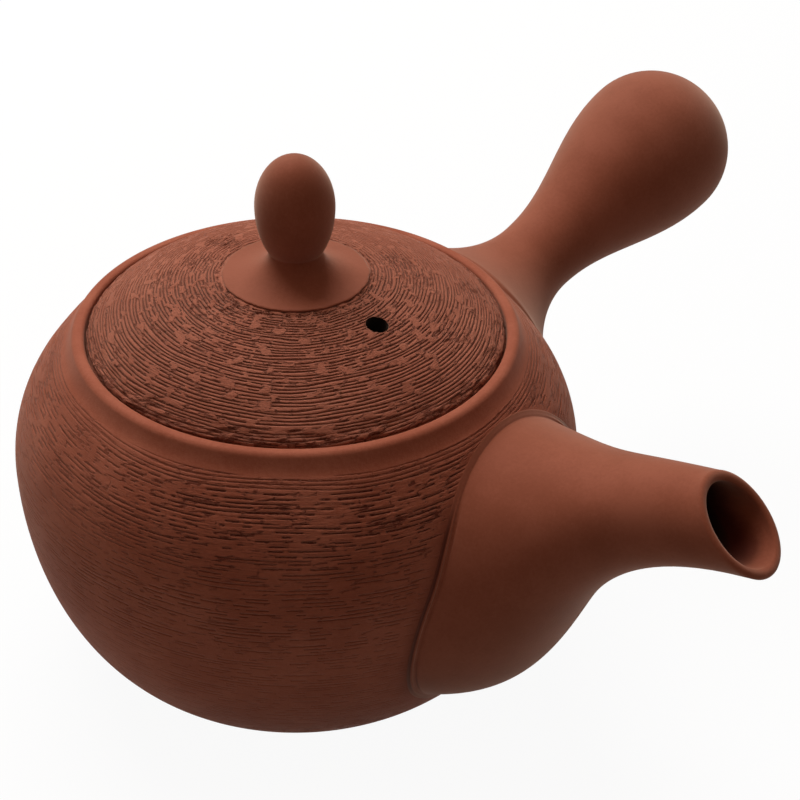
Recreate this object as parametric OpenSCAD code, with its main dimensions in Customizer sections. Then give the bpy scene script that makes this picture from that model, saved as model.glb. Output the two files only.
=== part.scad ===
// Side-handled kyusu teapot in unglazed red clay.
// The base stands on z = 0 with its centre at the origin, and the spout points along +X.

/* [Body] */
// Outer diameter at the belly
body_d = 110; // [100:1:122]
// Height of the belly, where the body is widest
belly_z = 45.4; // [38:0.2:56]
// Diameter of the flat base
base_d = 58; // [46:1:72]
// Fullness of the bowl below the belly, where 2 is a true ellipse
bowl_fullness = 2; // [1.7:0.05:2.6]
// Radius of the shoulder's arc above the belly
shoulder_round = 28.8; // [22:0.2:36]
// Thickness of the thrown wall
wall = 3; // [2.4:0.1:4]
// Thickness of the floor
floor_t = 4; // [3:0.5:7]

/* [Rim] */
// Width of the round bead on the rim
bead_w = 3; // [2.4:0.1:4]
// Height of the bead above the shoulder
bead_h = 4.5; // [4:0.1:6]
// Width of the cove between the bead and the shoulder
cove_w = 1.5; // [0.8:0.1:2]
// Depth of the lid's ledge below the top of the bead
ledge_drop = 3; // [2:0.1:5]
// Width of the ledge that carries the lid
ledge_w = 5.9; // [3.5:0.1:8]
// Thickness of the ledge
ledge_t = 4; // [3:0.1:6]

/* [Lid] */
// Diameter of the lid's edge
lid_d = 78.8; // [72:0.2:82]
// Gap between the lid's edge and the bead
lid_gap = 0.5; // [0.3:0.1:1]
// Height of the lid's edge face
lid_edge_h = 2.9; // [1.5:0.1:4]
// Rise of the dome from the edge face to the knob's seat
dome_rise = 10.9; // [7:0.1:18]
// Fullness of the dome, where 2 is a plain arch
dome_fullness = 3; // [2:0.1:3.6]
// Thickness of the dome
lid_t = 3.5; // [2.8:0.1:4.5]
// Depth of the locating flange below the ledge
flange_h = 8; // [4:0.5:14]
// Thickness of the flange
flange_t = 2.6; // [2:0.1:4]
// Gap between the flange and the throat
flange_gap = 0.4; // [0.3:0.1:0.8]
// Diameter of the steam vent
vent_d = 4.2; // [2:0.1:5]
// Distance of the vent from the lid's centre
vent_reach = 21.5; // [18.5:0.5:26]
// Turn of the vent from the spout's direction
vent_turn = -9.5; // [-30:0.5:30]

/* [Knob] */
// Diameter of the knob's spread foot
knob_foot_d = 28; // [20:0.5:32]
// Height of the foot's upright edge
knob_foot_edge = 0.4; // [0.2:0.1:1]
// Diameter of the neck under the egg
knob_neck_d = 10; // [7:0.2:12]
// Height of the neck above the knob's seat
knob_neck_h = 5; // [3:0.2:8]
// Greatest diameter of the egg
knob_d = 14.8; // [13:0.2:20]
// Height of the egg's widest place above the neck
knob_low_h = 9.3; // [6:0.1:13]
// Height of the egg above its widest place
knob_top_h = 10; // [7:0.1:14]

/* [Spout] */
// Reach of the mouth's centre beyond the belly
spout_reach = 39.1; // [32:0.1:48]
// Drop of the mouth's centre below the top of the bead
mouth_drop = 4.5; // [0:0.1:8]
// Tilt of the cut mouth below the horizontal
mouth_tilt = 43; // [36:1:56]
// Outer diameter at the mouth
spout_tip_d = 16.6; // [14:0.1:20]
// Diameter of the pouch at the spout's start, inside the body
spout_root_d = 70; // [62:0.5:74]
// Speed of the taper, where 1 is a plain cone
spout_taper = 1.65; // [1.5:0.05:1.9]
// Depth of the spout's start inside the belly
spout_root_in = 34.7; // [32:0.1:38]
// Drop of the spout's start below the belly
spout_root_drop = 9.4; // [7:0.1:12]
// Slope of the centre line at its start
spout_leave = 7.4; // [3:0.1:12]
// Pull of the centre line at its start
spout_leave_pull = 57.5; // [50:0.5:64]
// Slope of the centre line at the mouth
spout_tip_rise = 11.8; // [6:0.1:18]
// Pull of the centre line at the mouth
spout_tip_pull = 40.5; // [34:0.5:44]
// Lean of the first section
spout_root_lean = 42; // [34:1:50]
// Lean that bends the middle sections
spout_mid_lean = -11.5; // [-18:0.5:-6]
// Wall of the spout at its root
spout_wall = 3.5; // [2.8:0.1:4.5]
// Wall of the spout at its lip
lip_wall = 1.6; // [1.2:0.1:2.4]

/* [Handle] */
// Turn of the handle from the spout, seen from above
handle_turn = 80; // [72:1:100]
// Slope of the handle's axis
handle_rise = 19.2; // [8:0.2:28]
// Height of the axis above the belly where it leaves the wall
handle_lift = 8.8; // [4:0.2:11]
// Length of the handle beyond the belly
handle_len = 72.2; // [60:0.2:95]
// Diameter of the flared root at the belly
handle_root_d = 30; // [25:0.5:34]
// Diameter of the waist
handle_neck_d = 17.4; // [14.5:0.2:22]
// Distance of the waist from the belly
handle_neck_at = 15.7; // [12:0.1:20]
// Greatest diameter of the bulb
handle_bulb_d = 34.4; // [28:0.2:40]
// Length of the rounded end beyond the bulb's widest place
handle_end_h = 16.5; // [12:0.5:20]
// Wall of the hollow handle
handle_wall = 3; // [2.4:0.1:4]
// Diameter of the firing vent in the handle's end
handle_vent_d = 3; // [2:0.1:5]

/* [Strainer] */
// Outer diameter of the strainer's dome
strainer_d = 36; // [32:0.5:40]
// Thickness of the strainer
strainer_t = 2; // [1.6:0.1:3]
// Height of the strainer's centre below the belly
strainer_drop = 4.4; // [2:0.2:7]
// Depth of the dome's centre inside the belly
strainer_in = 5; // [3.5:0.5:7]
// Diameter of each strainer hole
strainer_hole_d = 1.3; // [1:0.1:1.6]
// Rings of holes round the middle one
strainer_rings = 6; // [3:1:6]
// Diameter of the opening in the wall behind the strainer
wall_bore_d = 24; // [18:0.5:27]

/* [Joints] */
// Film of slip between pieces that are luted together
slip_gap = 0.1; // [0.05:0.05:0.3]

/* [Hidden] */
$fn = 96;

body_r = body_d / 2;
base_r = base_d / 2;
lid_r = lid_d / 2;
gallery_r = lid_r + lid_gap;
throat_r = gallery_r - ledge_w;
bead_r = gallery_r + bead_w;
bead_round = bead_w / 2;
shoulder_r = bead_r + cove_w;
shoulder_centre = body_r - shoulder_round;
shoulder_turn = acos((shoulder_r - shoulder_centre) / shoulder_round);
shoulder_z = belly_z + shoulder_round * sin(shoulder_turn);
bead_top = shoulder_z + bead_h;
ledge_z = bead_top - ledge_drop;
ledge_under = ledge_z - ledge_t;

lid_top_edge = ledge_z + lid_edge_h;
knob_foot_r = knob_foot_d / 2;
knob_seat_z = lid_top_edge + dome_rise;
// Height that the dome would reach at its centre
dome_h = dome_rise / (1 - pow(knob_foot_r / lid_r, dome_fullness));
flange_r = throat_r - flange_gap;

knob_neck_r = knob_neck_d / 2;
knob_r = knob_d / 2;
knob_neck_z = knob_seat_z + knob_neck_h;
knob_wide_z = knob_neck_z + knob_low_h;
// Half height of the ellipse that the egg's lower part is cut from
knob_low_axis = knob_low_h / sqrt(1 - pow(knob_neck_r / knob_r, 2));

spout_root_r = spout_root_d / 2;
spout_tip_r = spout_tip_d / 2;
spout_start = [body_r - spout_root_in, belly_z - spout_root_drop];
mouth = [body_r + spout_reach, bead_top - mouth_drop];
spout_path = [
    spout_start,
    spout_start + spout_leave_pull * [cos(spout_leave), sin(spout_leave)],
    mouth - spout_tip_pull * [cos(spout_tip_rise), sin(spout_tip_rise)],
    mouth
];
// Length of plain tube past the mouth's centre, so that the slanted cut ends it
mouth_over = 2 * spout_tip_r / tan(mouth_tilt + spout_tip_rise);

handle_from = body_r / cos(handle_rise);
handle_axis_z = belly_z + handle_lift - body_r * tan(handle_rise);
handle_root_r = handle_root_d / 2;
handle_neck_r = handle_neck_d / 2;
handle_bulb_r = handle_bulb_d / 2;
handle_bulb_at = handle_len - handle_end_h;
// Start of the handle's turned form, under the body's surface, and of its flare
handle_root_in = 14;
handle_flare_in = 4;

strainer_at = [body_r - strainer_in, 0, belly_z - strainer_drop];
strainer_r = strainer_d / 2;
// Angle on the dome that the rings of holes cover
strainer_cover = 62;

curve_steps = 20;
dome_steps = 8;
loft_rings = 24;
loft_sides = 36;
// Length by which cutting shapes run past what they cut
past = 2;
clay = [0.50, 0.24, 0.17];
clay_light = [0.56, 0.28, 0.20];

// Steps of a turn, upwards or downwards
function rising(turn) = [for (i = [0:curve_steps]) turn * i / curve_steps];
function falling(turn) = [for (i = [0:curve_steps]) turn - turn * i / curve_steps];
function reversed(list) = [for (i = [len(list) - 1:-1:0]) list[i]];

// Bowl from the base up to the belly, a quarter of a superellipse
function bowl(foot_r, wide_r, foot_z) = [
    for (t = falling(90))
        [foot_r + (wide_r - foot_r) * pow(cos(t), 2 / bowl_fullness),
         belly_z - (belly_z - foot_z) * pow(sin(t), 2 / bowl_fullness)]
];

// Shoulder from the belly up to the rim, an arc set in or out by inset
function shoulder(inset, turn) = [
    for (t = rising(turn))
        [shoulder_centre + (shoulder_round - inset) * cos(t), belly_z + (shoulder_round - inset) * sin(t)]
];

// Cove from the shoulder to the bead, then over the bead to the gallery
function rim() = concat(
    [for (t = falling(90)) [shoulder_r - cove_w * cos(t), shoulder_z + cove_w * (1 - sin(t))]],
    [for (t = rising(180))
        [bead_r - bead_round * (1 - cos(t)), bead_top - bead_round * (1 - sin(t))]]
);

function inner_bowl(gap) = bowl(base_r - wall, body_r - wall - gap, floor_t + gap);
function inner_shoulder(gap) =
    shoulder(wall + gap, asin((ledge_under - gap - belly_z) / (shoulder_round - wall - gap)));

module thrown_wall() {
    rotate_extrude()
        polygon(concat(
            [[0, 0]],
            bowl(base_r, body_r, 0),
            shoulder(0, shoulder_turn),
            rim(),
            [[gallery_r, ledge_z], [throat_r, ledge_z], [throat_r, ledge_under]],
            reversed(inner_shoulder(0)),
            reversed(inner_bowl(0)),
            [[0, floor_t]]
        ));
}

// The body's outside as a full solid, carried up past the lid, to fit the luted pieces against
module outside_mass(gap) {
    top = bead_top + spout_root_d;
    rotate_extrude()
        polygon(concat(
            [[0, -past], [base_r + gap, -past]],
            bowl(base_r + gap, body_r + gap, 0),
            shoulder(-gap, shoulder_turn),
            [[shoulder_r + gap, top], [0, top]]
        ));
}

// The space inside the body
module inside_space(gap) {
    rotate_extrude()
        polygon(concat(
            [[0, floor_t + gap]],
            inner_bowl(gap),
            inner_shoulder(gap),
            [[0, ledge_under - gap]]
        ));
}

module body() {
    color(clay)
        difference() {
            thrown_wall();
            // Opening behind the strainer
            translate(strainer_at)
                rotate([0, 90, 0])
                    translate([0, 0, -wall])
                        cylinder(d = wall_bore_d, h = strainer_in + 2 * wall);
        }
}

// Centre line of the spout, a cubic curve in the plane of symmetry
function path_point(t) =
    pow(1 - t, 3) * spout_path[0] + 3 * pow(1 - t, 2) * t * spout_path[1]
    + 3 * (1 - t) * t * t * spout_path[2] + pow(t, 3) * spout_path[3];

function lean_at(t) =
    pow(1 - t, 2) * spout_root_lean + 2 * (1 - t) * t * spout_mid_lean + t * t * spout_tip_rise;

function wall_at(t) = lip_wall + (spout_wall - lip_wall) * (1 - t);

// One round section of the spout, pushed square to itself by extra and thinned by cut
function section(t, extra, cut) =
    let (
        lean = lean_at(t),
        middle = path_point(t) + extra * [cos(lean), sin(lean)],
        radius = spout_tip_r + (spout_root_r - spout_tip_r) * pow(1 - t, spout_taper) - cut
    )
    [for (i = [0:loft_sides - 1])
        let (a = 360 * i / loft_sides, up = radius * cos(a))
        [middle.x - up * sin(lean), radius * sin(a), middle.y + up * cos(lean)]];

module loft(sections) {
    rings = len(sections);
    polyhedron(
        points = [for (s = sections) each s],
        faces = concat(
            [[for (i = [loft_sides - 1:-1:0]) i]],
            [for (k = [0:rings - 2], i = [0:loft_sides - 1])
                let (j = (i + 1) % loft_sides, a = k * loft_sides, b = a + loft_sides)
                each [[a + i, b + j, b + i], [a + i, a + j, b + j]]],
            [[for (i = [0:loft_sides - 1]) (rings - 1) * loft_sides + i]]
        ),
        convexity = 6
    );
}

module spout() {
    steps = [for (i = [0:loft_rings]) i / loft_rings];
    color(clay_light)
        difference() {
            loft(concat([for (t = steps) section(t, 0, 0)], [section(1, mouth_over, 0)]));
            loft(concat(
                [section(0, -past, wall_at(0))],
                [for (t = steps) section(t, 0, wall_at(t))],
                [section(1, mouth_over + past, wall_at(1))]
            ));
            outside_mass(slip_gap);
            // Slanted mouth
            translate([mouth.x, 0, mouth.y])
                rotate([0, mouth_tilt, 0])
                    translate([-spout_root_d, -spout_root_d, 0])
                        cube(2 * spout_root_d);
        }
}

// Radius of the handle at a distance u beyond the belly: a flared root, a waist and a bulb
function handle_radius(u) =
    u < handle_neck_at
        ? handle_neck_r + (handle_root_r - handle_neck_r) * pow(1 - u / handle_neck_at, 2)
        : handle_neck_r + (handle_bulb_r - handle_neck_r)
            * (1 - cos(180 * (u - handle_neck_at) / (handle_bulb_at - handle_neck_at))) / 2;

// The handle's turned form, thinned by cut
module handle_form(cut) {
    stem = handle_bulb_at + handle_flare_in;
    rotate_extrude()
        polygon(concat(
            [[0, -handle_root_in], [handle_radius(-handle_flare_in) - cut, -handle_root_in]],
            [for (i = [0:2 * curve_steps])
                let (u = -handle_flare_in + stem * i / (2 * curve_steps))
                [handle_radius(u) - cut, u]],
            [for (t = rising(90))
                if (t > 0)
                    [(handle_bulb_r - cut) * cos(t), handle_bulb_at + (handle_end_h - cut) * sin(t)]]
        ));
}

module handle() {
    color(clay_light)
        difference() {
            translate([0, 0, handle_axis_z])
                rotate([0, 90 - handle_rise, handle_turn])
                    translate([0, 0, handle_from])
                        difference() {
                            handle_form(0);
                            handle_form(handle_wall);
                            // Firing vent
                            translate([0, 0, handle_bulb_at])
                                cylinder(d = handle_vent_d, h = handle_end_h + past);
                        }
            outside_mass(slip_gap);
        }
}

module strainer() {
    color(clay)
        intersection() {
            translate(strainer_at)
                difference() {
                    sphere(strainer_r);
                    sphere(strainer_r - strainer_t);
                    for (ring = [0:strainer_rings], i = [0:max(1, 6 * ring) - 1])
                        rotate([360 * i / max(1, 6 * ring), 0, 0])
                            rotate([0, -90 + strainer_cover * ring / strainer_rings, 0])
                                translate([0, 0, strainer_r - strainer_t - past])
                                    cylinder(d = strainer_hole_d, h = strainer_t + 2 * past);
                }
            inside_space(slip_gap);
        }
}

// Height, slope and point of the dome at a distance r from the axis, the point at a depth square to the dome
function dome_z(r) = lid_top_edge + dome_h * (1 - pow(r / lid_r, dome_fullness));
function dome_slope(r) = atan(dome_h * dome_fullness / lid_r * pow(r / lid_r, dome_fullness - 1));
function dome_point(r, depth = 0) = [r, dome_z(r) - depth / cos(dome_slope(r))];

module lid() {
    in_r = flange_r - flange_t;
    color(clay)
        difference() {
            rotate_extrude()
                polygon(concat(
                    [for (i = [0:dome_steps]) dome_point(in_r * i / dome_steps, lid_t)],
                    [[in_r, ledge_z - flange_h], [flange_r, ledge_z - flange_h]],
                    [[flange_r, ledge_z], [lid_r, ledge_z]],
                    [for (i = [0:dome_steps])
                        dome_point(lid_r + (knob_foot_r - lid_r) * i / dome_steps)],
                    [[0, knob_seat_z]]
                ));
            // Steam vent, square to the dome
            rotate([0, 0, vent_turn])
                translate([vent_reach, 0, dome_z(vent_reach)])
                    rotate([0, dome_slope(vent_reach), 0])
                        translate([0, 0, -lid_t - past])
                            cylinder(d = vent_d, h = lid_t + 2 * past);
        }
}

module knob() {
    color(clay_light)
        rotate_extrude()
            polygon(concat(
                [[0, knob_seat_z], [knob_foot_r, knob_seat_z]],
                [for (t = rising(90))
                    [knob_foot_r - (knob_foot_r - knob_neck_r) * sin(t),
                     knob_neck_z - (knob_neck_h - knob_foot_edge) * cos(t)]],
                [for (i = [1:curve_steps])
                    let (h = knob_low_h * (1 - i / curve_steps))
                    [knob_r * sqrt(1 - pow(h / knob_low_axis, 2)), knob_wide_z - h]],
                [for (t = rising(90))
                    if (t > 0)
                        [knob_r * cos(t), knob_wide_z + knob_top_h * sin(t)]]
            ));
}

body();
spout();
handle();
strainer();
lid();
knob();
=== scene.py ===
import bpy
import bmesh
import math
from mathutils import Matrix, Vector, kdtree, noise


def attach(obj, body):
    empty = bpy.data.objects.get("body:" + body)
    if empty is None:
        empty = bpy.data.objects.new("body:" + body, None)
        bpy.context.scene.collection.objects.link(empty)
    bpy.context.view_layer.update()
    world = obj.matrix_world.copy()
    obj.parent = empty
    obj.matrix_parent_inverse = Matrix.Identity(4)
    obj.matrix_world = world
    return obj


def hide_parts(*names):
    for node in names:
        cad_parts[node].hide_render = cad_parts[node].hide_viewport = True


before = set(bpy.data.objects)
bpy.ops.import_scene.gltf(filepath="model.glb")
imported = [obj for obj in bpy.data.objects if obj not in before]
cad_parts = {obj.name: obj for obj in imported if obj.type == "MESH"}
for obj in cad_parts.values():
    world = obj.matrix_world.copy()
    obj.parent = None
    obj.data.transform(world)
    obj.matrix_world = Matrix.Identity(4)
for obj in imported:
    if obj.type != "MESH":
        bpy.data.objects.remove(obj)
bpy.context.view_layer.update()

mm = 0.001  # the sizes below are in millimetres and degrees, as on the drawing
merge = 0.001 * mm  # points closer than this become one
scene = bpy.context.scene
scene.view_settings.view_transform = "Standard"


def smooth(low, high, value):  # 0 at low, 1 at high, eased at both ends
    t = min(1, max(0, (value - low) / (high - low)))
    return t * t * (3 - 2 * t)


def within(limit, soft, value):  # 1 below a limit, 0 above it
    return smooth(limit + soft, limit - soft, value)


def hump(value, wide):  # 1 at zero, fading to both sides
    return math.exp(-(value / wide) ** 2)


def ring(cosA, sinA, around, across, shift=0):  # noise that closes on itself round the pot
    return noise.noise((cosA * around + shift, sinA * around, across))


def raggedRing(cosA, sinA, parts):
    return sum(share * ring(cosA, sinA, around, across) for around, across, share in parts)


def turnedBy(degrees, axis):
    return Matrix.Rotation(math.radians(degrees), 4, axis)


# camera first
shot = {"aim": (0, 0, 33.5), "away": 364.3, "around": 38.2, "above": 37.33,
        "yaw": 3.25, "pitch": 2.66, "roll": -1.04, "lens": 81, "sensor": 36, "nearest": 10}

cameraData = bpy.data.cameras.new("camera")
cameraData.lens = shot["lens"]
cameraData.sensor_width = shot["sensor"]
cameraData.clip_start = shot["nearest"] * mm
camera = bpy.data.objects.new("camera", cameraData)
scene.collection.objects.link(camera)
camera.matrix_world = (Matrix.Translation(Vector(shot["aim"]) * mm)
                       @ turnedBy(shot["around"], "Z") @ turnedBy(90 - shot["above"], "X")
                       @ Matrix.Translation((0, 0, shot["away"] * mm))
                       @ turnedBy(-shot["yaw"], "Y") @ turnedBy(shot["pitch"], "X")
                       @ turnedBy(shot["roll"], "Z"))
scene.camera = camera
print("camera set")


def made(name, bm, body, node):
    mesh = bpy.data.meshes.new(name)
    bm.to_mesh(mesh)
    bm.free()
    mesh.polygons.foreach_set("use_smooth", [True] * len(mesh.polygons))
    piece = bpy.data.objects.new(name, mesh)
    scene.collection.objects.link(piece)
    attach(piece, body)
    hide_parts(node)
    print(name, len(mesh.vertices), "points", sum(len(p.vertices) - 2 for p in mesh.polygons), "triangles")
    return piece


def closed(bm):  # seams and poles merged, faces outwards
    bmesh.ops.remove_doubles(bm, verts=bm.verts, dist=merge)
    bmesh.ops.recalc_face_normals(bm, faces=bm.faces)


def turned(rows, steps, plain=0):  # rows are (radius, height) and, where scored, the distance along the skin
    bm = bmesh.new()
    along = bm.verts.layers.float.new("along")
    last = None
    for r, z, *far in rows:
        v = bm.verts.new((r * mm, 0, z * mm))
        v[along] = far[0] if far else plain
        if last:
            bm.edges.new((last, v))
        last = v
    bmesh.ops.spin(bm, geom=bm.verts[:] + bm.edges[:], axis=(0, 0, 1), cent=(0, 0, 0),
                   angle=2 * math.pi, steps=steps, use_merge=True)
    closed(bm)
    return bm, along


def corner(r, z, steps):  # rows that soften a corner of a turned profile
    return [(r + aside, z + up) for aside, up in steps]


def wrapped(laid, shadeMarks):  # a grid bent round into a closed ring of tube, one list of points a column
    columns, rows = len(laid), len(laid[0])
    bm = bmesh.new()
    paintedShade = bm.verts.layers.float.new("paintedShade")
    bmesh.ops.create_grid(bm, x_segments=columns, y_segments=rows, size=1)
    for v in bm.verts:
        column = round((v.co.x + 1) / 2 * columns) % columns
        row = round((v.co.y + 1) / 2 * rows) % rows
        v[paintedShade] = shadeMarks[column][row]
        v.co = laid[column][row] * mm
    closed(bm)
    return bm


# the drill for the spout's opening and the steam vent
bore = {"sides": 48, "slack": 1.002}


def holed(piece, across, length, place):  # bores a round hole square through a wall, and paints shade on its side
    radius, reach = across / 2 * mm, length / 2 * mm
    bm = bmesh.new()
    bmesh.ops.create_cone(bm, cap_ends=True, segments=bore["sides"], radius1=radius, radius2=radius,
                          depth=2 * reach, matrix=place)
    mesh = bpy.data.meshes.new("drill")
    bm.to_mesh(mesh)
    bm.free()
    drill = bpy.data.objects.new("drill", mesh)
    scene.collection.objects.link(drill)
    cut = piece.modifiers.new("bore", "BOOLEAN")
    cut.operation = "DIFFERENCE"
    cut.object = drill
    cut.solver = "MANIFOLD"
    bpy.context.view_layer.objects.active = piece
    with bpy.context.temp_override(object=piece, active_object=piece):
        bpy.ops.object.modifier_apply(modifier="bore")
    bpy.data.objects.remove(drill)
    bpy.data.meshes.remove(mesh)
    paintedShade = piece.data.attributes.new("paintedShade", "FLOAT", "FACE")
    into = place.inverted()
    for face, shadeMark in zip(piece.data.polygons, paintedShade.data):
        at = into @ face.center
        shadeMark.value = 1 if at.xy.length < radius * bore["slack"] and abs(at.z) < reach else 0
    print(piece.name, "bored", len(piece.data.polygons))


# the body's drawing, with its count of rows from the base up and back down the inside
pot = {"bellyR": 55, "bellyZ": 45.4, "baseR": 29, "shoulderArc": 28.8, "wall": 3, "floor": 4,
       "coveR": 44.4, "coveStart": 44.0, "scoreTop": 44.2, "swell": 0.9, "swellOver": (49, 43), "settle": 8,
       "beadR": 42.5, "beadHigh": 4.5, "beadWide": 2.6, "beadLean": 23, "innerRound": 0.8,
       "galleryR": 39.9, "ledgeDrop": 3, "ledgeThick": 4, "throatR": 34,
       "ledgeCorner": ((0, 0.5), (-0.1, 0.15), (-0.5, 0)), "underCorner": ((0, 0.5), (0.15, 0.12), (0.5, 0)),
       "throatCorner": ((0.5, 0), (0.12, -0.15), (0, -0.5)),
       "boreAcross": 24, "boreLong": 20, "boreAt": (52, 0, 41), "steps": 284, "plain": -1,
       "baseRings": (0, 12, 22), "bellyRows": 129, "bellyCrowd": 0.6, "shoulderRows": 130, "coveRows": 20,
       "beadRows": 10, "roundRows": 6, "insideRows": 10, "bowlRows": 16}
pot["arcMid"] = pot["bellyR"] - pot["shoulderArc"]
pot["coveZ"] = pot["bellyZ"] + math.sqrt(pot["shoulderArc"] ** 2 - (pot["coveR"] - pot["arcMid"]) ** 2)
pot["beadTop"] = pot["coveZ"] + pot["beadHigh"]
pot["ledgeZ"] = pot["beadTop"] - pot["ledgeDrop"]


def swellAt(r):  # the shoulder stands a little fuller just under the rim
    return pot["swell"] * smooth(*pot["swellOver"], r)


def potSkin(z):  # outer radius at a height
    p = pot
    if z < p["bellyZ"]:
        down = (p["bellyZ"] - z) / p["bellyZ"]
        return p["baseR"] + (p["bellyR"] - p["baseR"]) * math.sqrt(max(0, 1 - down ** 2))
    r = p["coveR"]
    if z < p["coveZ"] + swellAt(r):
        for i in range(p["settle"]):  # the swell depends on the radius, so the two settle together
            up = max(0, z - swellAt(r) - p["bellyZ"])
            r = p["arcMid"] + math.sqrt(max(0, p["shoulderArc"] ** 2 - up ** 2))
    return r


def outside(at):  # distance of a point from the body's skin, along the radius
    return math.hypot(at.x, at.y) - potSkin(at.z)


def skinNormal(at, step=0.05):
    slope = (potSkin(at.z + step) - potSkin(at.z - step)) / (2 * step)
    out = Vector((at.x, at.y, 0)).normalized()
    return (out - Vector((0, 0, slope))).normalized()


def crossing(test, low, high, halvings=40):  # where test turns from below to above zero
    for i in range(halvings):
        middle = (low + high) / 2
        if test(middle) < 0:
            low = middle
        else:
            high = middle
    return (low + high) / 2


def rootEdge(points):  # unit directions away from a luted piece, along the body's skin
    count = len(points)
    middle = sum(points, Vector()) / count
    away = []
    for i in range(count):
        run = points[(i + 1) % count] - points[i - 1]
        side = run.cross(skinNormal(points[i])).normalized()
        away.append(side if side.dot(points[i] - middle) > 0 else -side)
    return away


def anglesOf(columns):
    return [2 * math.pi * i / columns for i in range(columns)]


# the spout's drawing: its path, its walls, the rolled slip round its root, the painted shade in that seam,
# and painted shade down its bore
spoutSpec = {"mouth": (94.1, 67.72), "mouthTilt": 43, "tipR": 8.3, "rootR": 35, "taper": 1.65,
             "start": (20.3, 36), "leave": 7.4, "leavePull": 57.5, "tipRise": 11.8, "tipPull": 40.5,
             "rootLean": 42, "midLean": -11.5, "overrun": 40, "wall": 3.5, "lipWall": 1.6, "lipRound": 0.75,
             "columns": 144, "rootSearch": (0.02, 0.75), "tipSearch": (0.6, 1.8),
             "skirtRows": 14, "wallRows": 75, "wallCrowd": 1.9, "lipRows": 10, "insideRows": 39,
             "skirt": 1.9, "skirtLift": 0.03, "sink": 0.8, "sinkFrom": 1.35, "lap": 0.05, "lapWide": 0.4,
             "tuck": 0.6, "ridge": 0.26, "ridgeAt": 0.45, "ridgeWide": 0.24,
             "crease": 0.22, "creaseAt": 0.45, "creaseWide": 0.25,
             "fadeLow": (5, 14), "fadeTop": (-11, -3), "topLoss": 0.9,
             "shade": 0.8, "shadeFrom": (0.5, 0.85), "shadeWide": 2.1,
             "creaseShade": 0.15, "lowShade": 0.6, "lowFrom": (24, 10), "shadeRows": (9, 15)}


def spoutPoint(t, angle, inner, lift=0):
    s = spoutSpec
    over = max(0, t - 1) * s["overrun"]  # plain tube past the mouth's middle
    t = min(1, t)
    q = 1 - t
    leave, rise = math.radians(s["leave"]), math.radians(s["tipRise"])
    start, mouth = Vector(s["start"]), Vector(s["mouth"])
    pull = start + s["leavePull"] * Vector((math.cos(leave), math.sin(leave)))
    push = mouth - s["tipPull"] * Vector((math.cos(rise), math.sin(rise)))
    lean = math.radians(q * q * s["rootLean"] + 2 * q * t * s["midLean"] + t * t * s["tipRise"])
    middle = q ** 3 * start + 3 * q * q * t * pull + 3 * q * t * t * push + t ** 3 * mouth
    middle += over * Vector((math.cos(lean), math.sin(lean)))
    radius = s["tipR"] + (s["rootR"] - s["tipR"]) * q ** s["taper"] + lift
    if inner:
        radius -= s["lipWall"] + (s["wall"] - s["lipWall"]) * q
    up = radius * math.cos(angle)
    return Vector((middle.x - up * math.sin(lean), radius * math.sin(angle), middle.y + up * math.cos(lean)))


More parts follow.
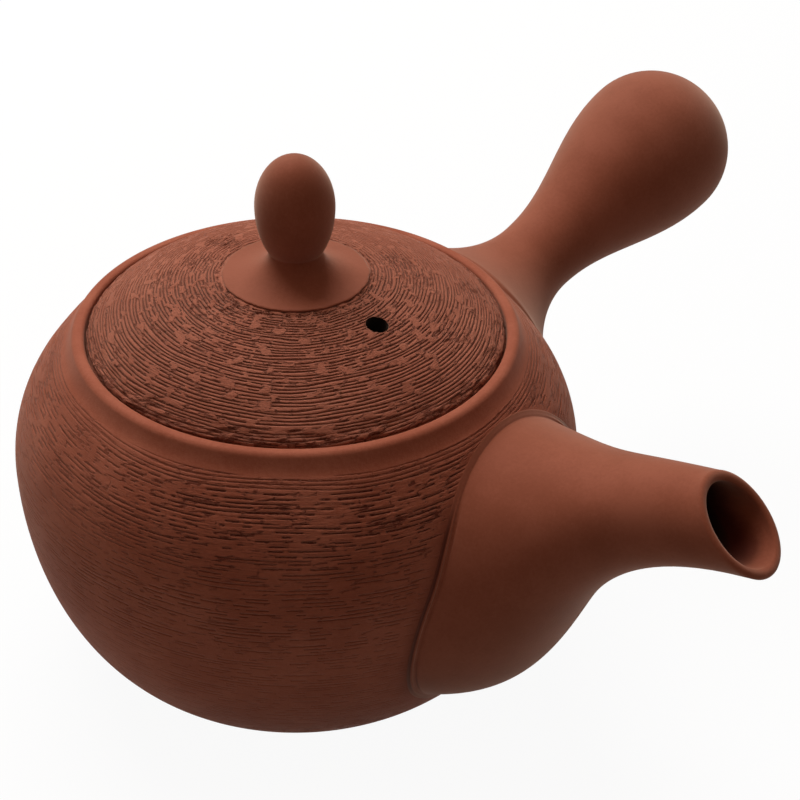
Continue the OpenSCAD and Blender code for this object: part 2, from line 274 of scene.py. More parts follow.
def makeSpout():
    s = spoutSpec
    tilt = math.radians(s["mouthTilt"])
    face = Vector((math.sin(tilt), 0, math.cos(tilt)))
    mouth = Vector((s["mouth"][0], 0, s["mouth"][1]))
    angles = anglesOf(s["columns"])

    def ends(a, inner):  # where a wall meets the body and the mouth
        root = crossing(lambda t: outside(spoutPoint(t, a, inner)), *s["rootSearch"])
        tip = crossing(lambda t: (spoutPoint(t, a, inner) - mouth).dot(face) + s["lipRound"], *s["tipSearch"])
        return root, tip

    outer = [ends(a, False) for a in angles]
    inner = [ends(a, True) for a in angles]
    roots = [spoutPoint(root, a, False) for (root, tip), a in zip(outer, angles)]
    away = rootEdge(roots)
    lowest, highest = min(root.z for root in roots), max(root.z for root in roots)

    def holds(at):  # the ridge and its lines of painted shade die out below the pouch, and are softer at the top
        top = smooth(highest + s["fadeTop"][0], highest + s["fadeTop"][1], at.z)
        return smooth(lowest + s["fadeLow"][0], lowest + s["fadeLow"][1], at.z) * (1 - s["topLoss"] * top)

    laid, shadeMarks = [], []
    for a, (outRoot, outTip), (inRoot, inTip), root, out in zip(angles, outer, inner, roots, away):
        up = skinNormal(root)
        hold = holds(root)
        low = smooth(lowest + s["lowFrom"][0], lowest + s["lowFrom"][1], root.z)
        line, shadeMark = [], []
        for k in range(s["skirtRows"]):  # rolled ridge of slip, from under the body's skin up to the root
            far = s["skirt"] * (1 - k / s["skirtRows"])
            ridge = hold * s["ridge"] * hump(far - s["ridgeAt"], s["ridgeWide"])
            sink = s["sink"] * smooth(s["sinkFrom"], s["skirt"], far)
            line.append(root + out * far + up * (s["skirtLift"] + ridge - sink))
            shadeMark.append(hold * s["shade"] * smooth(*s["shadeFrom"], far) * hump(far, s["shadeWide"]))
        for k in range(s["wallRows"] + 1):
            t = outRoot + (outTip - outRoot) * (k / s["wallRows"]) ** s["wallCrowd"]
            far = (spoutPoint(t, a, False) - root).length
            crease = hold * hump(far - s["creaseAt"], s["creaseWide"])
            lap = s["lap"] * max(0, 1 - far / s["lapWide"]) ** 2
            line.append(spoutPoint(t, a, False, -crease * s["crease"]) + up * lap)
            shadeMark.append(crease * s["shade"] * (s["creaseShade"] + s["lowShade"] * low))
        edge, well = line[-1], spoutPoint(inTip, a, True)
        for k in range(1, s["lipRows"]):  # rounded lip
            turn = math.pi * k / s["lipRows"]
            across = (edge - well) / 2 * math.cos(turn)
            line.append((edge + well) / 2 + across + face * s["lipRound"] * math.sin(turn))
        for k in range(s["insideRows"] + 1):
            line.append(spoutPoint(inTip + (inRoot - inTip) * k / s["insideRows"], a, True))
        line.append(spoutPoint(inRoot, a, True) - up * s["tuck"])
        shadeMark += [smooth(*s["shadeRows"], k) for k in range(len(line) - len(shadeMark))]  # painted shade, darkening down the inside of the bore
        laid.append(line)
        shadeMarks.append(shadeMark)
    return wrapped(laid, shadeMarks), roots, holds


spoutMesh, spoutRoots, spoutHolds = makeSpout()
spout = made("spoutSkin", spoutMesh, "pot", "spout")

# the handle's drawing, with its count of rows from the root to the vent and back through the hollow
handleSpec = {"turn": 80, "rise": 19.2, "lift": 8.8, "long": 72.2, "rootR": 15, "neckR": 8.7, "neckAt": 15.7,
              "bulbR": 17.2, "endLong": 16.5, "flareIn": 4, "topFlat": 1.2, "topSharp": 1.5, "wall": 3,
              "ventR": 1.5, "ventRound": 0.5, "ventStep": 0.2, "columns": 120, "rootSearch": (-14, 12),
              "skirt": 2.2, "skirtFade": (1, -6), "sink": 0.6, "lap": 0.3, "lapLong": 2.5, "tuck": 0.8,
              "skirtRows": 7, "neckRows": 63, "neckCrowd": 1.25, "endRows": 24, "ventRows": 5, "domeRows": 12,
              "hollowRows": 19, "hollowFrom": 2, "shadeRows": 2}
handleSpec["bulbAt"] = handleSpec["long"] - handleSpec["endLong"]


def handleRadius(u, a):
    h = handleSpec
    u = max(u, -h["flareIn"])
    if u < h["neckAt"]:
        flare = 1 - u / h["neckAt"]
        flat = h["topFlat"] * max(0, math.sin(a)) ** h["topSharp"] * flare  # the root is flatter on top
        return h["neckR"] + (h["rootR"] - h["neckR"]) * flare ** 2 - flat
    if u < h["bulbAt"]:
        share = (u - h["neckAt"]) / (h["bulbAt"] - h["neckAt"])
        return h["neckR"] + (h["bulbR"] - h["neckR"]) * (1 - math.cos(math.pi * share)) / 2
    return h["bulbR"] * math.sqrt(max(0, 1 - ((u - h["bulbAt"]) / h["endLong"]) ** 2))


def makeHandle():
    h = handleSpec
    rise, turn = math.radians(h["rise"]), math.radians(h["turn"])
    out = Vector((math.cos(turn) * math.cos(rise), math.sin(turn) * math.cos(rise), math.sin(rise)))
    side = Vector((-math.sin(turn), math.cos(turn), 0))
    over = out.cross(side)
    level = pot["bellyZ"] + h["lift"] - pot["bellyR"] * math.tan(rise)
    start = Vector((0, 0, level)) + out * pot["bellyR"] / math.cos(rise)

    def at(u, radius, a):
        return start + out * u + radius * (side * math.cos(a) + over * math.sin(a))

    def skin(u, a):
        return at(u, handleRadius(u, a), a)

    angles = anglesOf(h["columns"])
    roots = [crossing(lambda u: outside(skin(u, a)), *h["rootSearch"]) for a in angles]
    points = [skin(u, a) for u, a in zip(roots, angles)]
    away = rootEdge(points)
    bulbAt, ventR, edge = h["bulbAt"], h["ventR"], h["ventRound"]
    rimward, below = [pot["coveZ"] + step for step in h["skirtFade"]]
    inR, inLong = h["bulbR"] - h["wall"], h["endLong"] - h["wall"]
    ventTurn = math.acos((ventR + edge) / h["bulbR"])
    tip = bulbAt + h["endLong"] * math.sin(ventTurn)
    laid = []
    for a, first, root, aside in zip(angles, roots, points, away):
        up = skinNormal(root)
        reach = h["skirt"] * smooth(rimward, below, root.z)
        line = []
        for k in range(h["skirtRows"]):  # slip wiped out over the body's skin
            f = k / h["skirtRows"]
            line.append(root + aside * reach * (1 - f) + up * (h["lap"] * f * f - h["sink"] * (1 - f) ** 2))
        for k in range(h["neckRows"] + 1):
            u = first + (bulbAt - first) * (k / h["neckRows"]) ** h["neckCrowd"]
            line.append(skin(u, a) + up * h["lap"] * max(0, 1 - (u - first) / h["lapLong"]) ** 2)
        for k in range(1, h["endRows"] + 1):
            t = ventTurn * k / h["endRows"]
            line.append(at(bulbAt + h["endLong"] * math.sin(t), h["bulbR"] * math.cos(t), a))
        for k in range(1, h["ventRows"] + 1):  # rounded edge of the firing vent
            t = math.pi / 2 * k / h["ventRows"]
            line.append(at(tip - edge * (1 - math.cos(t)), ventR + edge * (1 - math.sin(t)), a))
        inner = len(line)
        line.append(at(bulbAt + inLong, ventR, a))
        for k in range(1, h["domeRows"] + 1):
            t = math.pi / 2 * (1 - k / h["domeRows"])
            line.append(at(bulbAt + inLong * math.sin(t), max(ventR + h["ventStep"], inR * math.cos(t)), a))
        for k in range(1, h["hollowRows"] + 1):
            u = bulbAt + (first + h["hollowFrom"] - bulbAt) * k / h["hollowRows"]
            line.append(at(u, handleRadius(u, a) - h["wall"], a))
        line.append(root - up * h["tuck"])
        laid.append(line)
    # painted shade inside the hollow, from the vent's edge in
    shadeMark = [smooth(inner, inner + h["shadeRows"], row) for row in range(len(line))]
    return wrapped(laid, [shadeMark] * h["columns"]), points


handleMesh, handleRoots = makeHandle()
handle = made("handleSkin", handleMesh, "pot", "handle")

# torn turning lines, cut by dragging a blade over the half-dry clay
# pairs are (round the pot, along the skin) for a noise, and (from, to) for a fade
blade = {"wander": (1.7, 0.06), "shake": (3, 0.9, 5.1), "dashStep": 5.17, "fleckStep": 3.31,
         "fleckShare": 0.55, "cutShadeSoft": 0.15, "smearHigh": 1.4, "smearShift": 7.7,
         "fineTimes": 3, "fineHigh": 0.5, "fineShift": 2.2, "fineShare": 0.3, "smearLevel": 0.24,
         "smearSoft": 0.05, "smearEdge": 1.6, "cutSides": (0.45, 0.95)}
potScore = {"pitch": 0.8, "drift": 0.7, "jitter": 0.3, "dash": 15, "fleck": 50, "smear": 14, "shut": -0.03,
            "deep": 0.19, "plate": 0.04, "block": (20, 0.8), "face": -35, "faceOver": (0.3, 0.9), "back": 0.5,
            "rim": (-0.1, 0.35), "rimRag": ((6, 1.7, 0.3),), "end": (62, 74),
            "calm": ((3, 2, 0.4), (10, 20, 0.45), (24, 44, 0.28)),  # from, to, share of the depth lost
            "firstLines": (3.6, 2.6), "firstOpen": 0.46,
            "loose": (0.02, 0.2), "looseGrain": (5, 0.25), "looseEnd": (16, 10),
            "wipeFrom": 0.9, "wipeTo": 2.6, "wipeMore": 2.6, "wipeDown": (8, 26),
            "wipeRag": 0.9, "wipeGrain": 0.3, "handleShade": 0.15}


def torn(spec, cosA, sinA, along):
    # gives the turns of the blade so far, how open its line is, the flat smears,
    # and for the crumbs that it breaks off the way to their edge and their height
    b = blade

    def field(around, across, shift=0):
        return ring(cosA, sinA, around, across, shift)

    drift = spec["drift"] * field(b["wander"][0], along * b["wander"][1])
    drift += spec["jitter"] * field(b["shake"][0], along * b["shake"][1], b["shake"][2])
    turns = (along + drift) / spec["pitch"]
    line = math.floor(turns + 0.5)
    cutShade = field(spec["dash"], line * b["dashStep"])
    cutShade += b["fleckShare"] * field(spec["fleck"], line * b["fleckStep"])
    fine = field(spec["smear"] * b["fineTimes"], along / b["fineHigh"], b["fineShift"])
    smear = field(spec["smear"], along / b["smearHigh"], b["smearShift"])
    smear += b["fineShare"] * fine - b["smearLevel"]
    opened = smooth(spec["shut"] - b["cutShadeSoft"], spec["shut"] + b["cutShadeSoft"], cutShade)
    opened *= within(0, b["smearSoft"], smear)
    around, high = spec["block"]
    reach, seeds = noise.voronoi((cosA * around, sinA * around, along / high))
    return turns, opened, smear, reach[1] - reach[0], noise.cell(seeds[0])


def groove(turns):  # 0 on the ridges, 1 along the middle of each cut
    return smooth(*blade["cutSides"], abs(turns - math.floor(turns) - 0.5) * 2)


def flakeEdge(tear, loose, smear):  # 0 along the edges of loose crumbs and smears
    return min(tear * loose + 1 - loose, abs(smear) * blade["smearEdge"])


def facing(spec, cosA, sinA):  # 1 on the side that faces the spec's angle, -1 on the other
    face = math.radians(spec["face"])
    return cosA * math.cos(face) + sinA * math.sin(face)


def scoreLayers(bm):
    return [bm.verts.layers.float.new(name) for name in ("lines", "opened", "flake", "scored")]


def bodyRows():
    p = pot
    belly, base, wide, arc = p["bellyZ"], p["baseR"], p["bellyR"], p["shoulderArc"]
    skin = []
    for k in range(p["bellyRows"] + 1):  # from the base up, with closer rows towards the belly
        t = math.pi / 2 * (1 - (k / p["bellyRows"]) ** p["bellyCrowd"])
        skin.append(Vector((base + (wide - base) * math.cos(t), belly * (1 - math.sin(t)))))
    turn = math.acos((p["coveStart"] - p["arcMid"]) / arc)
    for k in range(1, p["shoulderRows"] + 1):
        t = turn * k / p["shoulderRows"]
        r = p["arcMid"] + arc * math.cos(t)
        skin.append(Vector((r, belly + arc * math.sin(t) + swellAt(r))))
    half, lean = p["beadWide"] / 2, math.radians(p["beadLean"])

    def bead(t):
        return p["beadR"] - half * (1 - math.cos(t)), p["beadTop"] - half * (1 - math.sin(t))

    low, high = skin[-1], Vector(bead(lean))  # soft cove, from the shoulder's slope up to the bead's side
    upSlope, downSlope = (low - skin[-2]).normalized(), Vector((math.sin(lean), -math.cos(lean)))
    bend = low + upSlope * (high - low).cross(downSlope) / upSlope.cross(downSlope)
    for k in range(1, p["coveRows"]):
        t = k / p["coveRows"]
        skin.append(low * (1 - t) ** 2 + bend * 2 * t * (1 - t) + high * t * t)
    far = [p["plain"]] * len(skin)  # distance down the skin from where the score starts
    first = next(i for i, at in enumerate(skin) if at.y > belly and at.x < p["scoreTop"])
    far[first] = 0
    for i in range(first, 0, -1):
        far[i - 1] = far[i] + (skin[i] - skin[i - 1]).length
    rows = [(r, 0) for r in p["baseRings"]]
    rows += [(at.x, at.y, s) for at, s in zip(skin, far)]
    rows += [bead(lean + (math.pi / 2 - lean) * k / p["beadRows"]) for k in range(p["beadRows"] + 1)]
    soft = p["innerRound"]
    for k in range(p["roundRows"] + 1):
        t = math.pi / 2 * k / p["roundRows"]
        rows.append((p["galleryR"] + soft * (1 - math.sin(t)), p["beadTop"] - soft * (1 - math.cos(t))))
    under = p["ledgeZ"] - p["ledgeThick"]
    rows += corner(p["galleryR"], p["ledgeZ"], p["ledgeCorner"])
    rows += corner(p["throatR"], p["ledgeZ"], p["throatCorner"])
    rows += corner(p["throatR"], under, p["underCorner"])
    inside = arc - p["wall"]
    turn = math.asin((under - belly) / inside)
    for k in range(p["insideRows"] + 1):
        t = turn * (1 - k / p["insideRows"])
        rows.append((p["arcMid"] + inside * math.cos(t), belly + inside * math.sin(t)))
    for k in range(1, p["bowlRows"] + 1):
        t = math.pi / 2 * k / p["bowlRows"]
        r = base - p["wall"] + (wide - base) * math.cos(t)
        rows.append((r, belly - (belly - p["floor"]) * math.sin(t)))
    return rows + [(0, p["floor"])]


def makeBody():
    c = potScore
    bm, along = turned(bodyRows(), pot["steps"], pot["plain"])
    lines, opened, flake, scored = scoreLayers(bm)
    shade = bm.verts.layers.float.new("shade")
    ties = kdtree.KDTree(len(spoutRoots) + len(handleRoots))
    for i, root in enumerate(spoutRoots + handleRoots):
        ties.insert(root * mm, i)
    ties.balance()
    bm.normal_update()
    for v in bm.verts:
        s = v[along]
        if s == pot["plain"]:
            continue
        r = math.hypot(v.co.x, v.co.y)
        cosA, sinA = v.co.x / r, v.co.y / r
        near, index, gap = ties.find(v.co)
        gap /= mm
        clear = c["wipeTo"] + c["wipeMore"] * smooth(*c["wipeDown"], s)  # wiped smooth round the roots
        strong = smooth(c["wipeFrom"], clear, gap + c["wipeRag"] * noise.noise(v.co / mm * c["wipeGrain"]))
        strong *= smooth(*c["rim"], s + raggedRing(cosA, sinA, c["rimRag"])) * (1 - smooth(*c["end"], s))
        strong *= 1 - sum(share * smooth(start, stop, s) for start, stop, share in c["calm"])
        strong *= c["back"] + (1 - c["back"]) * smooth(*c["faceOver"], facing(c, cosA, sinA))
        turns, cut, smear, tear, tall = torn(c, cosA, sinA, s)
        cut = max(cut, c["firstOpen"] * smooth(*c["firstLines"], s))  # these run right round the rim
        around, down = c["looseGrain"]
        loose = smooth(*c["loose"], ring(cosA, sinA, around, s * down)) * smooth(*c["looseEnd"], s)
        v[lines], v[opened], v[flake], v[scored] = turns, cut, flakeEdge(tear, loose, smear), strong
        # painted shade in the seams round the spout's and the handle's roots
        dark = spoutSpec["shade"] * spoutHolds(near / mm) if index < len(spoutRoots) else c["handleShade"]
        v[shade] = hump(gap, spoutSpec["shadeWide"]) * dark
        drop = c["deep"] * cut * groove(turns) + c["plate"] * (0.5 + 0.5 * tall)
        v.co -= v.normal * strong * drop * mm
    return bm


body = made("bodySkin", makeBody(), "pot", "body")
borePlace = Matrix.Translation(Vector(pot["boreAt"]) * mm) @ turnedBy(90, "Y")
holed(body, pot["boreAcross"], pot["boreLong"], borePlace)

# the lid's drawing, and how its score differs from the body's
lidSpec = {"edgeR": 39.6, "edgeHigh": 3.0, "edgeRound": 0.4, "rise": 10.8, "fullness": 3, "thick": 3.5,
           "footR": 14, "flangeR": 33.6, "flangeThick": 2.6, "flangeDeep": 8, "crownR": 7, "skinStart": 0.2,
           "flangeIn": ((0, 0.8), (0.23, 0.23), (0.8, 0)), "flangeOut": ((-0.8, 0), (-0.23, 0.23), (0, 0.8)),
           "flangeTop": ((0, -0.2), (0.2, 0)), "edgeFoot": ((-0.5, 0), (-0.14, 0.14), (0, 0.5)),
           "sideRows": (1.9, 1.7, 1.5, 1.3, 1.1, 0.9, 0.7, 0.5),
           "edgeTurn": ((-0.07, -0.18, -0.25), (-0.2, 0.05, -0.05)), "underRows": 12, "domeRows": 188,
           "ventAcross": 4.2, "ventLong": 10, "ventSink": 1.5, "ventReach": 21.5, "ventTurn": -9.5,
           "steps": 384, "plain": -9}
lidSpec["topEdge"] = pot["ledgeZ"] + lidSpec["edgeHigh"]
lidSpec["seatZ"] = lidSpec["topEdge"] + lidSpec["rise"]
lidSpec["domeHigh"] = lidSpec["rise"] / (1 - (lidSpec["footR"] / lidSpec["edgeR"]) ** lidSpec["fullness"])
lidScore = {"pitch": 0.68, "drift": 0.5, "jitter": 0.34, "dash": 6, "fleck": 28, "smear": 12, "shut": -0.5,
            "deep": 0.2, "plate": 0.06, "crumb": 0.42, "block": (16, 1.05),
            "face": -52, "faceOver": (-0.9, 0.6), "rag": ((8, 4.4, 1), (23, 2.4, 0.5)),
            "edgeBand": 2.4, "edgeSoft": 1, "footBand": 1.3, "footSoft": 0.6, "footRag": 0.7,
            "ripOver": (5.5, 2), "ripRag": 1.6, "side": (-1.9, -1.5), "stop": (0.0, 0.25), "stopRag": 0.3,
            "least": 0.36, "gain": 0.48, "looseGain": 0.7, "looseShut": 0.4,
            "smearDrop": 0.08, "smearSoft": 0.04,
            "rips": ((171, 20), (-161, 20), (-150, 25.5), (55, 20.5),  # degrees round, mm out
                     (40, 24), (46, 34), (12, 31), (-103, 16))}


def domeAt(r):  # height and slope of the lid's skin
    d = lidSpec
    share = r / d["edgeR"]
    return (d["topEdge"] + d["domeHigh"] * (1 - share ** d["fullness"]),
            math.atan(d["domeHigh"] * d["fullness"] / d["edgeR"] * share ** (d["fullness"] - 1)))


def lidRows():  # the profile, and the length of its skin from the edge to the knob's foot
    d = lidSpec
    ledge, edge, top = pot["ledgeZ"], d["edgeR"], d["topEdge"]
    inR, foot = d["flangeR"] - d["flangeThick"], ledge - d["flangeDeep"]
    rows = []
    for k in range(d["underRows"] + 1):
        r = inR * k / d["underRows"]
        z, slope = domeAt(r)
        rows.append((r, z - d["thick"] / math.cos(slope)))
    rows += corner(inR, foot, d["flangeIn"])
    rows += corner(d["flangeR"], foot, d["flangeOut"])
    rows += corner(d["flangeR"], ledge, d["flangeTop"])
    rows += corner(edge, ledge, d["edgeFoot"])
    rows += [(edge, top - down, -down) for down in d["sideRows"]]
    rows += [(edge + aside, top + up, s) for aside, up, s in d["edgeTurn"]]
    far, last = d["skinStart"], None
    for k in range(d["domeRows"] + 1):
        r = edge - d["edgeRound"] + (d["footR"] - edge + d["edgeRound"]) * k / d["domeRows"]
        z = domeAt(r)[0]
        far += math.hypot(r - last[0], z - last[1]) if last else 0
        last = (r, z)
        rows.append((r, z, far))
    return rows + [(d["crownR"], d["seatZ"]), (0, d["seatZ"])], far


def makeLid():
    c = lidScore
    rows, far = lidRows()
    bm, along = turned(rows, lidSpec["steps"], lidSpec["plain"])
    lines, opened, flake, scored = scoreLayers(bm)
    rips = [(turnedBy(a, "Z") @ Vector((out, 0, 0))).xy for a, out in c["rips"]]
    bm.normal_update()
    for v in bm.verts:
        s = v[along]
        if s == lidSpec["plain"]:
            continue
        r = math.hypot(v.co.x, v.co.y)
        cosA, sinA = v.co.x / r, v.co.y / r
        ragged = raggedRing(cosA, sinA, c["rag"])
        turns, cut, smear, tear, tall = torn(c, cosA, sinA, s)
        nearest = min((v.co.xy / mm - rip).length for rip in rips)
        loose = max(smooth(*c["ripOver"], nearest + c["ripRag"] * ragged),
                    within(c["edgeBand"], c["edgeSoft"], s + ragged),
                    within(c["footBand"], c["footSoft"], far - s + c["footRag"] * ragged))
        strong = smooth(*c["side"], s) * smooth(*c["stop"], far - s + c["stopRag"] * ragged)
        # the scoring and the shade painted in its cuts are strongest on the side towards the camera
        front = smooth(*c["faceOver"], facing(c, cosA, sinA))
        strong *= c["least"] + c["gain"] * max(front, c["looseGain"] * loose)
        cut *= 1 - c["looseShut"] * loose
        v[lines], v[opened], v[flake], v[scored] = turns, cut, flakeEdge(tear, loose, smear), strong
        drop = c["deep"] * cut * groove(turns) + (c["plate"] + loose * c["crumb"]) * (0.5 + 0.5 * tall)
        drop += c["smearDrop"] * within(0, c["smearSoft"], smear)
        v.co -= v.normal * strong * drop * mm
    return bm


lid = made("lidSkin", makeLid(), "lid", "lid")
ventZ, ventLean = domeAt(lidSpec["ventReach"])
ventPlace = (turnedBy(lidSpec["ventTurn"], "Z")
             @ Matrix.Translation((lidSpec["ventReach"] * mm, 0, ventZ * mm))
             @ turnedBy(math.degrees(ventLean), "Y")
             @ Matrix.Translation((0, 0, -lidSpec["ventSink"] * mm)))
holed(lid, lidSpec["ventAcross"], lidSpec["ventLong"], ventPlace)

# the knob's drawing
knobSpec = {"footR": 14, "footEdge": 0.4, "neckR": 5, "neckHigh": 5, "eggR": 7.4, "eggLow": 9.3, "eggTop": 10,
            "footCorner": ((-0.3, 0), (-0.05, 0.1)), "torn": 0.45, "tornWide": 0.6,
            "rag": ((7, 1.3, 1), (21, 6.1, 0.6)), "neckRows": 32, "lowRows": 24, "topRows": 32, "steps": 192}


def makeKnob():
    n = knobSpec
    seat = lidSpec["seatZ"]
    neckZ = seat + n["neckHigh"]
    wideZ = neckZ + n["eggLow"]
    lowAxis = n["eggLow"] / math.sqrt(1 - (n["neckR"] / n["eggR"]) ** 2)
    rows = [(0, seat)] + corner(n["footR"], seat, n["footCorner"])
    edge = rows[-1][0]
    for k in range(n["neckRows"] + 1):
        t = math.pi / 2 * k / n["neckRows"]
        down = (n["neckHigh"] - n["footEdge"]) * math.cos(t)
        rows.append((edge - (edge - n["neckR"]) * math.sin(t), neckZ - down))
    for k in range(1, n["lowRows"] + 1):
        low = n["eggLow"] * (1 - k / n["lowRows"])
        rows.append((n["eggR"] * math.sqrt(1 - (low / lowAxis) ** 2), wideZ - low))
    for k in range(1, n["topRows"] + 1):
        t = math.pi / 2 * k / n["topRows"]
        rows.append((n["eggR"] * math.cos(t), wideZ + n["eggTop"] * math.sin(t)))
    bm = turned(rows, n["steps"])[0]
    for v in bm.verts:  # torn edge of the foot
        r = v.co.xy.length
        if r > (n["footR"] - n["tornWide"]) * mm:
            ragged = raggedRing(v.co.x / r, v.co.y / r, n["rag"])
            v.co.xy *= 1 - n["torn"] * mm / r * (0.5 + 0.5 * ragged)
    return bm


knob = made("knobSkin", makeKnob(), "lid", "knob")


# shader sums are written as plain expressions on wires
class Wire:
    def __init__(self, tree, socket=None):
        self.tree = tree
        self.socket = socket

    def node(self, kind, settings=None, inputs=None, out=0):
        new = self.tree.nodes.new(kind)
        for key, value in (settings or {}).items():
            setattr(new, key, value)
        for key, value in (inputs or {}).items():
            if isinstance(value, Wire):
                self.tree.links.new(value.socket, new.inputs[key])
            else:
                new.inputs[key].default_value = value
        return Wire(self.tree, new.outputs[out] if new.outputs else None)

    def sum(self, operation, a, b=0.0):
        return self.node("ShaderNodeMath", {"operation": operation}, {0: a, 1: b})

    def __add__(self, other):
        return self.sum("ADD", self, other)

    def __radd__(self, other):
        return self.sum("ADD", other, self)

    def __sub__(self, other):
        return self.sum("SUBTRACT", self, other)

    def __rsub__(self, other):
        return self.sum("SUBTRACT", other, self)

    def __mul__(self, other):
        return self.sum("MULTIPLY", self, other)

    def __rmul__(self, other):
        return self.sum("MULTIPLY", other, self)

    def ramp(self, low, high, bottom=0.0, top=1.0):
        return self.node("ShaderNodeMapRange", {"interpolation_type": "SMOOTHSTEP"},
                         {"Value": self, "From Min": low, "From Max": high, "To Min": bottom, "To Max": top})


def started(name):
    material = bpy.data.materials.new(name)
    material.use_nodes = True
    material.node_tree.nodes.clear()
    return material, Wire(material.node_tree)


def blended(wire, amount, first, second):
    return wire.node("ShaderNodeMix", {"data_type": "RGBA"}, {0: amount, 6: first, 7: second}, 2)


def speckled(wire, place, scale, detail, rough):
    return wire.node("ShaderNodeTexNoise", None,
                     {"Vector": place, "Scale": scale, "Detail": detail, "Roughness": rough})


def vectors(wire, operation, inputs, out=0):
    return wire.node("ShaderNodeVectorMath", {"operation": operation}, inputs, out)


def read(wire, name):
    return wire.node("ShaderNodeAttribute", {"attribute_name": name}, out=2)


# what every piece of clay shares; a noise is (scale, detail, roughness), a ramp (from, to, bottom, top)
clay = {"light": (0.305, 0.088, 0.049, 1), "dark": (0.246, 0.065, 0.033, 1),
        "potLight": (0.375, 0.116, 0.068, 1), "potDark": (0.300, 0.082, 0.045, 1),
        # the lid's tones are paler than the body's: painted light on the lid's lit top
        "lidLight": (0.388, 0.132, 0.081, 1), "lidDark": (0.315, 0.097, 0.057, 1),
        # painted shade: dark red in cuts, cracks and seams, near black deep in holes and hollows
        "recessShade": (0.050, 0.003, 0.001, 1), "pale": (0.55, 0.30, 0.21, 1), "paintedShade": (0.005, 0.002, 0.0015, 1),
        "cloud": (70, 4, 0.6), "grain": (1500, 3, 0.6), "grit": (3800, 2, 0.5), "cloudShare": 0.7,
        "mottle": (0.34, 0.66), "gritSeen": (0.72, 0.8, 0, 0.2),
        "shadeEdge": (0.0, 0.85), "shadeDeep": (0.85, 1.0),
        "specular": 0.03, "sheenRough": 0.5, "sheenTint": (1, 0.78, 0.62, 1)}


def shaded(wire, colour, roughness, height, finish):
    bump = wire.node("ShaderNodeBump", None,
                     {"Strength": finish["bump"], "Distance": finish["deep"] * mm, "Height": height})
    surface = wire.node("ShaderNodeBsdfPrincipled", None, {
        "Base Color": colour, "Roughness": roughness, "Normal": bump,
        "Specular IOR Level": clay["specular"], "Sheen Weight": finish["dust"],
        "Sheen Roughness": clay["sheenRough"], "Sheen Tint": clay["sheenTint"]})
    wire.node("ShaderNodeOutputMaterial", None, {"Surface": surface})


def clayGround(wire, dark, light):  # mottled colour, fine grain and grit, and the painted shade in seams, holes and hollows
    place = wire.node("ShaderNodeTexCoord", out=3)
    cloud, grain, grit = [speckled(wire, place, *clay[name]) for name in ("cloud", "grain", "grit")]
    mottle = cloud * clay["cloudShare"] + grain * (1 - clay["cloudShare"])
    colour = blended(wire, mottle.ramp(*clay["mottle"]), clay[dark], clay[light])
    colour = blended(wire, grit.ramp(*clay["gritSeen"]), colour, clay["pale"])
    paintedShade = read(wire, "paintedShade")
    colour = blended(wire, paintedShade.ramp(*clay["shadeEdge"]), colour, clay["recessShade"])
    return place, grain, grit, blended(wire, paintedShade.ramp(*clay["shadeDeep"]), colour, clay["paintedShade"])


# clay wiped smooth, on the spout, the handle, the knob and the strainer
smoothSpec = {"rough": 0.5, "roughGrain": 0.16, "grain": 0.6, "grit": 0.4,
              "bump": 0.25, "deep": 0.12, "dust": 0.42}


def smoothClay():
    c = smoothSpec
    material, wire = started("smoothClay")
    place, grain, grit, colour = clayGround(wire, "dark", "light")
    height = grain * c["grain"] + grit * c["grit"]
    shaded(wire, colour, c["rough"] + c["roughGrain"] * grain, height, c)
    return material


# scored clay, on the body and the lid; a streak is (round the pot, along the skin)
scoredSpec = {"streak": (9, 1.6), "ragged": (60, 3.2), "faint": (16, 3), "drawn": (1, 3, 0.6),
              "shake": 0.45, "waver": 0.25, "fray": 0.8, "chip": 0.3, "open": (0.34, 0.5),
              "cut": (0.35, 0.43), "dip": (0.18, 0.42), "fine": (0.36, 0.46),
              "fineSeen": (0.46, 0.54, 0, 0.35), "crack": (0.03, 0.15, 0.9, 0),
              "tone": (0.35, 0.65, 0.2, 0), "cutShade": 0.82,
              "rough": 0.52, "roughGrain": 0.2, "grain": 0.1, "grit": 0.06,
              "streakHigh": 0.3, "raggedHigh": 0.35, "dipDeep": 0.45, "cutDeep": 0.45,
              "bump": 1.0, "deep": 0.5, "dust": 0.14}


def streaked(wire, place, along, around, across):  # noise drawn out along the turning lines
    flat = vectors(wire, "MULTIPLY", {0: place, 1: (1, 1, 0)})
    spoke = vectors(wire, "NORMALIZE", {0: flat})
    spread = vectors(wire, "SCALE", {0: spoke, "Scale": around})
    height = wire.node("ShaderNodeCombineXYZ", None, {"Z": along * across})
    return speckled(wire, vectors(wire, "ADD", {0: spread, 1: height}), *scoredSpec["drawn"])


def fromRidge(turns):  # 0 on the ridge between two cuts, 0.5 in the middle of a cut
    return turns.sum("ABSOLUTE", turns.sum("FRACT", turns) - 0.5)


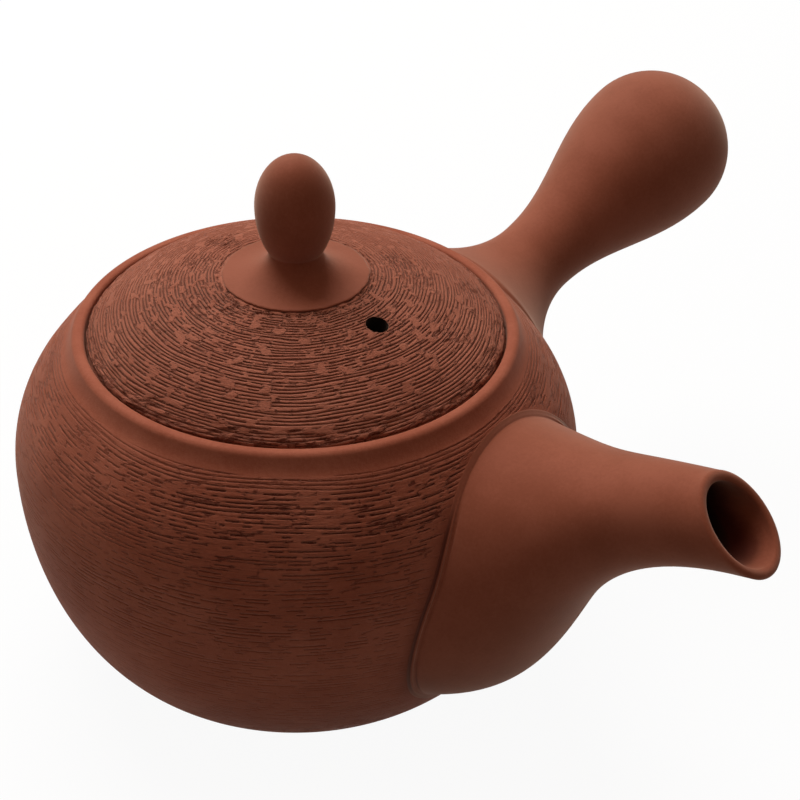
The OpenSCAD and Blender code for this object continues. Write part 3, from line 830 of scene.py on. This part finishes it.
def scoredClay(name, darkTone, lightTone):
    c = scoredSpec
    material, wire = started(name)
    place, grain, grit, colour = clayGround(wire, darkTone, lightTone)
    layers = ("along", "lines", "opened", "flake", "scored", "shade")
    along, lines, opened, flake, scored, shade = [read(wire, layer) for layer in layers]
    streak, ragged, faint = [streaked(wire, place, along, *c[kind]) for kind in ("streak", "ragged", "faint")]
    turns = lines + (ragged - 0.5) * c["shake"]
    across = fromRidge(turns) + (streak - 0.5) * c["waver"]
    gap = (opened + (ragged - 0.5) * c["fray"]).ramp(*c["open"])
    cut = across.ramp(*c["cut"]) * gap
    dip = across.ramp(*c["dip"]) * gap  # the clay slopes down to each cut, so its far lip catches light
    fine = fromRidge(turns * 2.0).ramp(*c["fine"]) * faint.ramp(*c["fineSeen"])  # at half the pitch
    crack = (flake + (ragged - 0.5) * c["chip"]).ramp(*c["crack"])
    # painted shade in the cuts, the fine lines and the cracks between crumbs
    dark = wire.sum("MAXIMUM", wire.sum("MAXIMUM", cut, fine), crack) * scored
    colour = blended(wire, streak.ramp(*c["tone"]) * scored, colour, clay[darkTone])
    # painted shade in the seams round the spout's and the handle's roots
    colour = blended(wire, shade, colour, clay["recessShade"])
    colour = blended(wire, dark * c["cutShade"], colour, clay["recessShade"])
    relief = streak * c["streakHigh"] + ragged * c["raggedHigh"] - dip * c["dipDeep"]
    height = grain * c["grain"] + grit * c["grit"] + relief * scored - dark * c["cutDeep"]
    shaded(wire, colour, c["rough"] + c["roughGrain"] * grain, height, c)
    return material


smoothFinish = smoothClay()
potFinish = scoredClay("potClay", "potDark", "potLight")
lidFinish = scoredClay("lidClay", "lidDark", "lidLight")
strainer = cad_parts["strainer"]
for piece, finish in ((spout, smoothFinish), (handle, smoothFinish), (knob, smoothFinish),
                      (strainer, smoothFinish), (body, potFinish), (lid, lidFinish)):
    piece.data.materials.clear()
    piece.data.materials.append(finish)
print("clay on every piece")

# floor, world and lamps; places are in metres, to the right, away and up as the camera sees it
stageSpec = {"floor": 3.0, "sides": 96, "pale": 0.9, "bounce": 0.4, "glow": 0.94, "white": (1, 1, 1, 1),
             "low": 0.03, "high": 0.36, "skyOver": (0.0, 0.9), "front": 0.35, "frontOver": (-0.7, 0.1),
             "skyTint": (1, 0.73, 0.58, 1), "softbox": 0.8, "lampAt": (-0.2, 0.5, 0.85), "power": 9.9,
             "tint": (1, 1, 0.98), "fillAt": (-0.15, -0.55, 0.8), "fillPower": 0.5,
             "fillTint": (1, 0.82, 0.7)}


def seenDirectly(wire):  # 1 for what the camera, a reflection or a clear body shows
    camera = wire.node("ShaderNodeLightPath")
    glossy = Wire(wire.tree, camera.socket.node.outputs["Is Glossy Ray"])
    clear = Wire(wire.tree, camera.socket.node.outputs["Is Transmission Ray"])
    return wire.sum("MAXIMUM", wire.sum("MAXIMUM", camera, glossy), clear)


def grey(level):
    return (level, level, level, 1)


def makeFloor():
    st = stageSpec
    bm = bmesh.new()
    bmesh.ops.create_circle(bm, cap_ends=True, segments=st["sides"], radius=st["floor"])
    mesh = bpy.data.meshes.new("floor")
    bm.to_mesh(mesh)
    bm.free()
    floor = bpy.data.objects.new("floor", mesh)
    scene.collection.objects.link(floor)
    material, wire = started("paleFloor")
    seen = seenDirectly(wire)
    paint = blended(wire, seen, grey(st["bounce"]), grey(st["pale"]))
    base = wire.node("ShaderNodeBsdfDiffuse", None, {"Color": paint})
    glow = wire.node("ShaderNodeEmission", None, {"Color": st["white"], "Strength": 1.0})
    mixed = wire.node("ShaderNodeMixShader", None, {0: seen * st["glow"], 1: base, 2: glow})
    wire.node("ShaderNodeOutputMaterial", None, {"Surface": mixed})
    mesh.materials.append(material)


def makeWorld():
    st = stageSpec
    world = bpy.data.worlds.new("studio")
    world.use_nodes = True
    world.node_tree.nodes.clear()
    wire = Wire(world.node_tree)
    look = wire.node("ShaderNodeTexCoord", out=0)
    sky = wire.node("ShaderNodeSeparateXYZ", None, {"Vector": look}, 2)
    away = turnedBy(shot["around"], "Z") @ Vector((0, 1, 0))
    depth = vectors(wire, "DOT_PRODUCT", {0: look, 1: away}, 1)  # the studio is dim on the near side
    dim = sky.ramp(*st["skyOver"], st["low"], st["high"]) * depth.ramp(*st["frontOver"], st["front"], 1.0)
    shade = wire.node("ShaderNodeBackground", None, {"Color": st["skyTint"], "Strength": dim})
    white = wire.node("ShaderNodeBackground", None, {"Color": st["white"], "Strength": 1.0})
    mixed = wire.node("ShaderNodeMixShader", None, {0: seenDirectly(wire), 1: shade, 2: white})
    wire.node("ShaderNodeOutputWorld", None, {"Surface": mixed})
    scene.world = world


def makeLamp(name, place, power, tint):
    lamp = bpy.data.lights.new(name, "AREA")
    lamp.shape = "DISK"
    lamp.size = stageSpec["softbox"]
    lamp.energy = stageSpec[power]
    lamp.color = stageSpec[tint]
    light = bpy.data.objects.new(name, lamp)
    scene.collection.objects.link(light)
    at = Vector(stageSpec[place])
    aimed = at.to_track_quat("Z", "Y").to_matrix().to_4x4()
    light.matrix_world = turnedBy(shot["around"], "Z") @ Matrix.Translation(at) @ aimed


makeFloor()
makeWorld()
makeLamp("softbox", "lampAt", "power", "tint")
makeLamp("fill", "fillAt", "fillPower", "fillTint")
print("stage lit")
